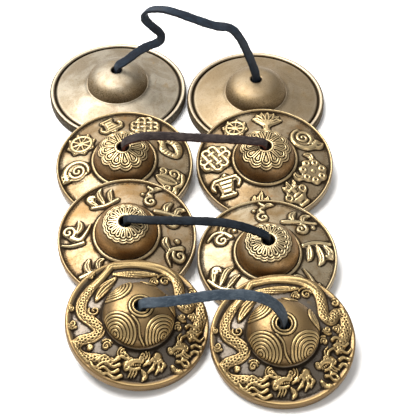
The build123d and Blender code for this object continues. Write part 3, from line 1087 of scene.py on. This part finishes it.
def leather(name, face, worn, side, shine):
    """Dyed leather thong: grained faces worn paler in places, and cut sides of another colour, which on
    one strap is painted shade.
    """
    g = Graph(name)
    strip = g.attribute("strip", "Vector")
    cut = g.attribute("cut")
    grain = g.noise(g.vector("MULTIPLY", strip, (0.35, 1, 1)), 16.0, 4.0)
    fibre = g.noise(strip, 60.0, 3.0)
    wear = g.noise(strip, 2.2, 3.0, distortion=0.5)
    colour = g.mix(g.span(wear, 0.4, 0.72, 0.0, 0.6), face, worn)
    colour = g.mix(g.span(grain, 0.48, 0.68, 0.0, 0.75), colour, worn)
    ragged_cut = g.math("ADD", cut, g.span(grain, 0.3, 0.7, -0.12, 0.12))
    colour = g.mix(g.span(ragged_cut, 0.72, 0.97, 0.0, 0.9), colour, side)
    g.shade("Base Color", colour)
    g.shade("Roughness", g.span(grain, 0.3, 0.7, 0.42, 0.64))
    g.shade("Specular IOR Level", shine)
    creases = g.bump(grain, 0.5, 0.18 * MM)
    g.shade("Normal", g.bump(fibre, 0.25, 0.05 * MM, creases))
    return g.material


BRONZE = {
    "plain": dict(ground=(0.205, 0.165, 0.113), pale=(0.30, 0.265, 0.205), worn=(0.50, 0.42, 0.31),
                  recess=(0.022, 0.015, 0.008), stain_and_shade=(0.24, 0.165, 0.080), lathe=0.7, rough=0.44),
    "emblem": dict(ground=(0.165, 0.112, 0.058), pale=(0.27, 0.215, 0.14), worn=(0.56, 0.43, 0.23),
                   recess=(0.014, 0.009, 0.005), stain_and_shade=(0.21, 0.11, 0.04)),
    "scroll": dict(ground=(0.20, 0.135, 0.066), pale=(0.32, 0.265, 0.18), worn=(0.56, 0.45, 0.26),
                   recess=(0.016, 0.010, 0.006), stain_and_shade=(0.27, 0.14, 0.045)),
    "dragon": dict(ground=(0.118, 0.096, 0.070), pale=(0.140, 0.120, 0.100), worn=(0.49, 0.36, 0.17),
                   recess=(0.026, 0.018, 0.011), stain_and_shade=(0.235, 0.150, 0.062)),
}
LEATHER = {
    "plain": dict(face=(0.006, 0.009, 0.016), worn=(0.014, 0.026, 0.042),
                  side=(0.008, 0.011, 0.017), shine=0.25),
    "emblem": dict(face=(0.015, 0.010, 0.010), worn=(0.048, 0.036, 0.032),
                   side=(0.11, 0.034, 0.024), shine=0.16),
    "scroll": dict(face=(0.004, 0.006, 0.009), worn=(0.012, 0.018, 0.026),
                   side=(0.003, 0.004, 0.006), shine=0.12),
    # The dragon strap's cut sides are painted near black: painted shade for its lower edge.
    "dragon": dict(face=(0.020, 0.031, 0.045), worn=(0.060, 0.080, 0.100),
                   side=(0.006, 0.007, 0.010), shine=0.22),
}


# ---- stage, in metres

FLOOR_HALF = 3.0
FLOOR_DROP = 0.0002


def make_floor():
    mesh = bpy.data.meshes.new("floor")
    corners = [(right * FLOOR_HALF, rear * FLOOR_HALF, -FLOOR_DROP)
               for right, rear in ((-1, -1), (1, -1), (1, 1), (-1, 1))]
    mesh.from_pydata(corners, [], [(0, 1, 2, 3)])
    floor = link("floor", mesh)
    g = Graph("floor")
    g.shade("Base Color", (0.9, 0.9, 0.9, 1))
    g.shade("Roughness", 0.8)
    g.shade("Specular IOR Level", 0.1)
    mesh.materials.append(g.material)


def area_light(name, place, target, size, power, colour=(1, 1, 1)):
    data = bpy.data.lights.new(name, "AREA")
    data.shape = "RECTANGLE"
    data.size, data.size_y = size
    data.energy = power
    data.color = colour
    light = link(name, data)
    light.location = place
    light.rotation_euler = (Vector(target) - Vector(place)).to_track_quat("-Z", "Y").to_euler()


def make_lights():
    world = bpy.data.worlds.new("studio")
    bpy.context.scene.world = world
    world.use_nodes = True
    background = world.node_tree.nodes["Background"]
    background.inputs["Color"].default_value = (0.95, 0.97, 1.0, 1)
    background.inputs["Strength"].default_value = 0.45
    middle = (0.0, 0.0, 0.02)
    area_light("key_softbox", (-0.35, 0.25, 0.9), middle, (0.65, 0.65), 22.0, (1.0, 0.98, 0.95))
    area_light("back_strip", (-0.1, 0.95, 0.6), middle, (0.8, 0.3), 3.0)
    area_light("front_fill", (0.6, -0.8, 0.45), middle, (0.5, 0.4), 3.0, (1.0, 0.9, 0.76))
    bpy.context.scene.view_settings.view_transform = "Standard"


# ---- the whole set


def main():
    make_camera()
    bells = {(pair, side): Bell(pair, side) for pair in PAIRS for side in SIDES}
    for pair in PAIRS:
        hide = leather(f"hide_{pair}", **LEATHER[pair])
        make_strap(pair, bells).data.materials.append(hide)
        metal = bronze(f"cast_{pair}", **BRONZE[pair])
        for side in SIDES:
            make_knot(bells[pair, side]).data.materials.append(hide)
            make_bell(bells[pair, side]).data.materials.append(metal)
    make_floor()
    make_lights()
    bpy.context.view_layer.update()


main()
